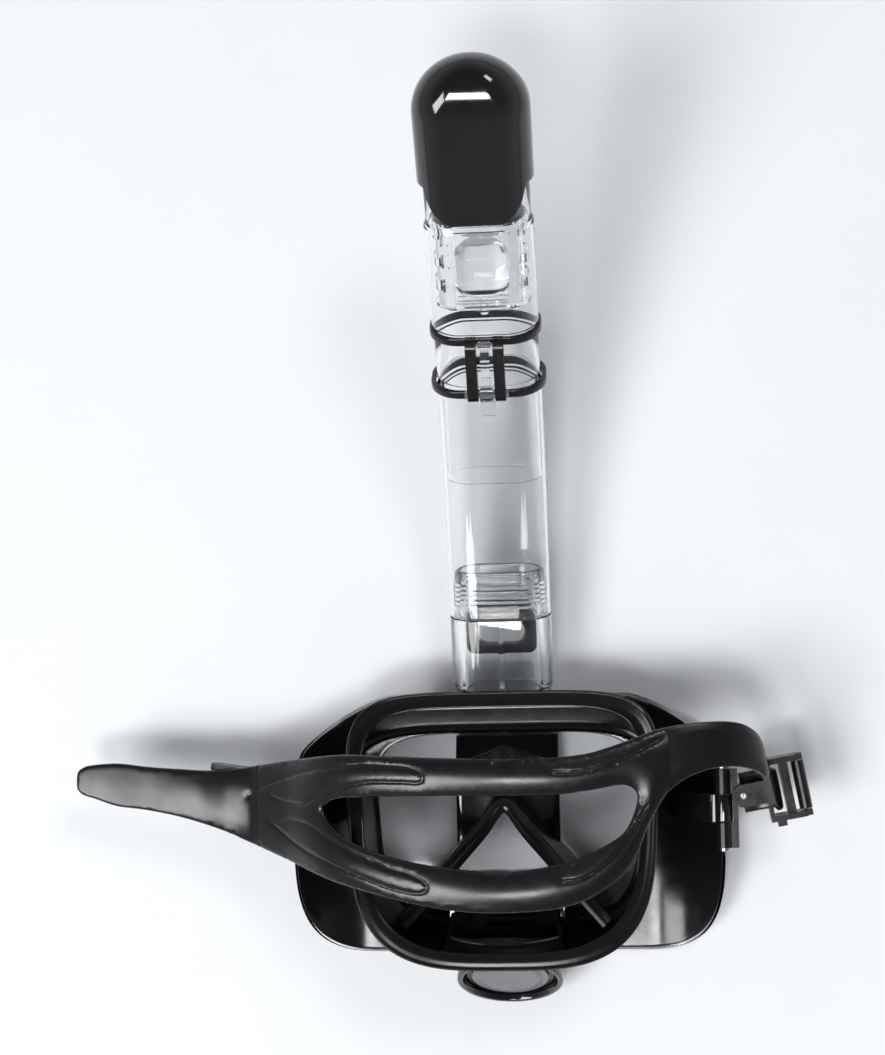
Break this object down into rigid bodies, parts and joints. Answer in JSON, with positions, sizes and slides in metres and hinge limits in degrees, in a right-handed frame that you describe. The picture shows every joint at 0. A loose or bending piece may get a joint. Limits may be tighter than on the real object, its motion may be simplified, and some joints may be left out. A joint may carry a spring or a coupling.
{
  "type": "full face snorkel",
  "caption": "Compact full-face snorkel mask with a clear curved lens, black skirt, split rubber strap on swivel buckles and a clear folding dry-top snorkel tube.",
  "frame": {"origin": "centre of the flat front face of the lens, on which the mask lies", "axes": "+Y from the chin towards the snorkel tube, +Z from the lens towards the wearer, +X to the right as seen by someone facing the wearer's side"},
  "size_m": [0.3611, 0.4408, 0.1752],
  "materials": {
    "clear_plastic": "clear polished polycarbonate",
    "black_gloss": "polished black",
    "black_silicone": "satin black silicone",
    "milky_silicone": "translucent silicone",
    "steel": "polished pin"
  },
  "bodies": {
    "mask": {"front_lens": "clear_plastic", "lens_frame": "black_gloss", "air_duct_cover": "black_gloss", "snorkel_socket": "black_gloss", "face_skirt": "black_silicone", "orinasal_cup": "black_silicone", "chin_housing": "black_gloss", "purge_housing": "black_gloss", "purge_seat": "black_gloss", "purge_flap": "black_silicone", "strap_band": "black_silicone", "check_valve_seat_left": "black_gloss", "check_valve_seat_right": "black_gloss", "check_valve_flap_left": "milky_silicone", "check_valve_flap_right": "milky_silicone", "snorkel_connector": "clear_plastic", "connector_divider": "clear_plastic", "spigot_seal": "milky_silicone", "swivel_pin_left": "steel", "swivel_pin_right": "steel"},
    "snorkel_tube": {"main_tube": "clear_plastic", "joint_sleeve": "clear_plastic", "lower_ring": "black_gloss", "hinge_knuckle": "clear_plastic", "fold_hinge_pin": "steel"},
    "dry_top": {"upper_ring": "black_gloss", "ring_coupling": "clear_plastic", "dry_top_housing": "clear_plastic", "float_cage": "clear_plastic", "valve_seal": "black_silicone", "cap": "black_gloss", "latch_pin": "steel"},
    "latch": {"latch_lever": "clear_plastic"},
    "float": {"float": "clear_plastic"},
    "swivel_left": {"swivel_block_left": "black_gloss"},
    "buckle_left": {"buckle_body_left": "black_gloss", "cross_pin_left": "steel", "roller_pin_left": "steel", "strap_end_left": "black_silicone"},
    "roller_left": {"strap_roller_left": "black_gloss"},
    "button_left": {"release_button_left": "black_gloss"},
    "swivel_right": {"swivel_block_right": "black_gloss"},
    "buckle_right": {"buckle_body_right": "black_gloss", "cross_pin_right": "steel", "roller_pin_right": "steel", "strap_end_right": "black_silicone"},
    "roller_right": {"strap_roller_right": "black_gloss"},
    "button_right": {"release_button_right": "black_gloss"}
  },
  "joints": [
    {"name": "snorkel_pull", "type": "slide", "parent": "mask", "child": "snorkel_tube", "axis": [0, 0.9732, 0.23], "range_m": [0, 0.03]},
    {"name": "snorkel_fold", "type": "hinge", "parent": "snorkel_tube", "child": "dry_top", "pos_m": [0, 0.2108, 0.09521], "axis": [1, 0, 0], "range_deg": [0, 110]},
    {"name": "latch_press", "type": "hinge", "parent": "dry_top", "child": "latch", "pos_m": [0, 0.23251, 0.10817], "axis": [-1, 0, 0], "range_deg": [0, 18], "stiffness_Nm_per_rad": 0.02},
    {"name": "float_travel", "type": "slide", "parent": "dry_top", "child": "float", "axis": [0, 0.8131, 0.5821], "range_m": [0, 0.012]},
    {"name": "buckle_swing_left", "type": "hinge", "parent": "mask", "child": "swivel_left", "pos_m": [-0.106, 0.012, 0.044], "axis": [0, 1, 0], "range_deg": [-20, 10]},
    {"name": "buckle_tilt_left", "type": "hinge", "parent": "swivel_left", "child": "buckle_left", "pos_m": [-0.1154, 0.018, 0.044], "axis": [0, 0, -1], "range_deg": [-20, 12]},
    {"name": "roller_turn_left", "type": "hinge", "parent": "buckle_left", "child": "roller_left", "pos_m": [-0.14365, 0.02247, 0.044], "axis": [0.1564, 0.9877, 0], "continuous": true},
    {"name": "release_press_left", "type": "slide", "parent": "buckle_left", "child": "button_left", "axis": [0.1564, 0.9877, 0], "range_m": [0, 0.0018], "stiffness_N_per_m": 250},
    {"name": "buckle_swing_right", "type": "hinge", "parent": "mask", "child": "swivel_right", "pos_m": [0.106, 0.012, 0.044], "axis": [0, -1, 0], "range_deg": [-20, 20]},
    {"name": "buckle_tilt_right", "type": "hinge", "parent": "swivel_right", "child": "buckle_right", "pos_m": [0.1154, 0.018, 0.044], "axis": [0, 0, 1], "range_deg": [-20, 12]},
    {"name": "roller_turn_right", "type": "hinge", "parent": "buckle_right", "child": "roller_right", "pos_m": [0.14357, 0.02297, 0.044], "axis": [-0.1736, 0.9848, 0], "continuous": true},
    {"name": "release_press_right", "type": "slide", "parent": "buckle_right", "child": "button_right", "axis": [-0.1736, 0.9848, 0], "range_m": [0, 0.0018], "stiffness_N_per_m": 250}
  ]
}
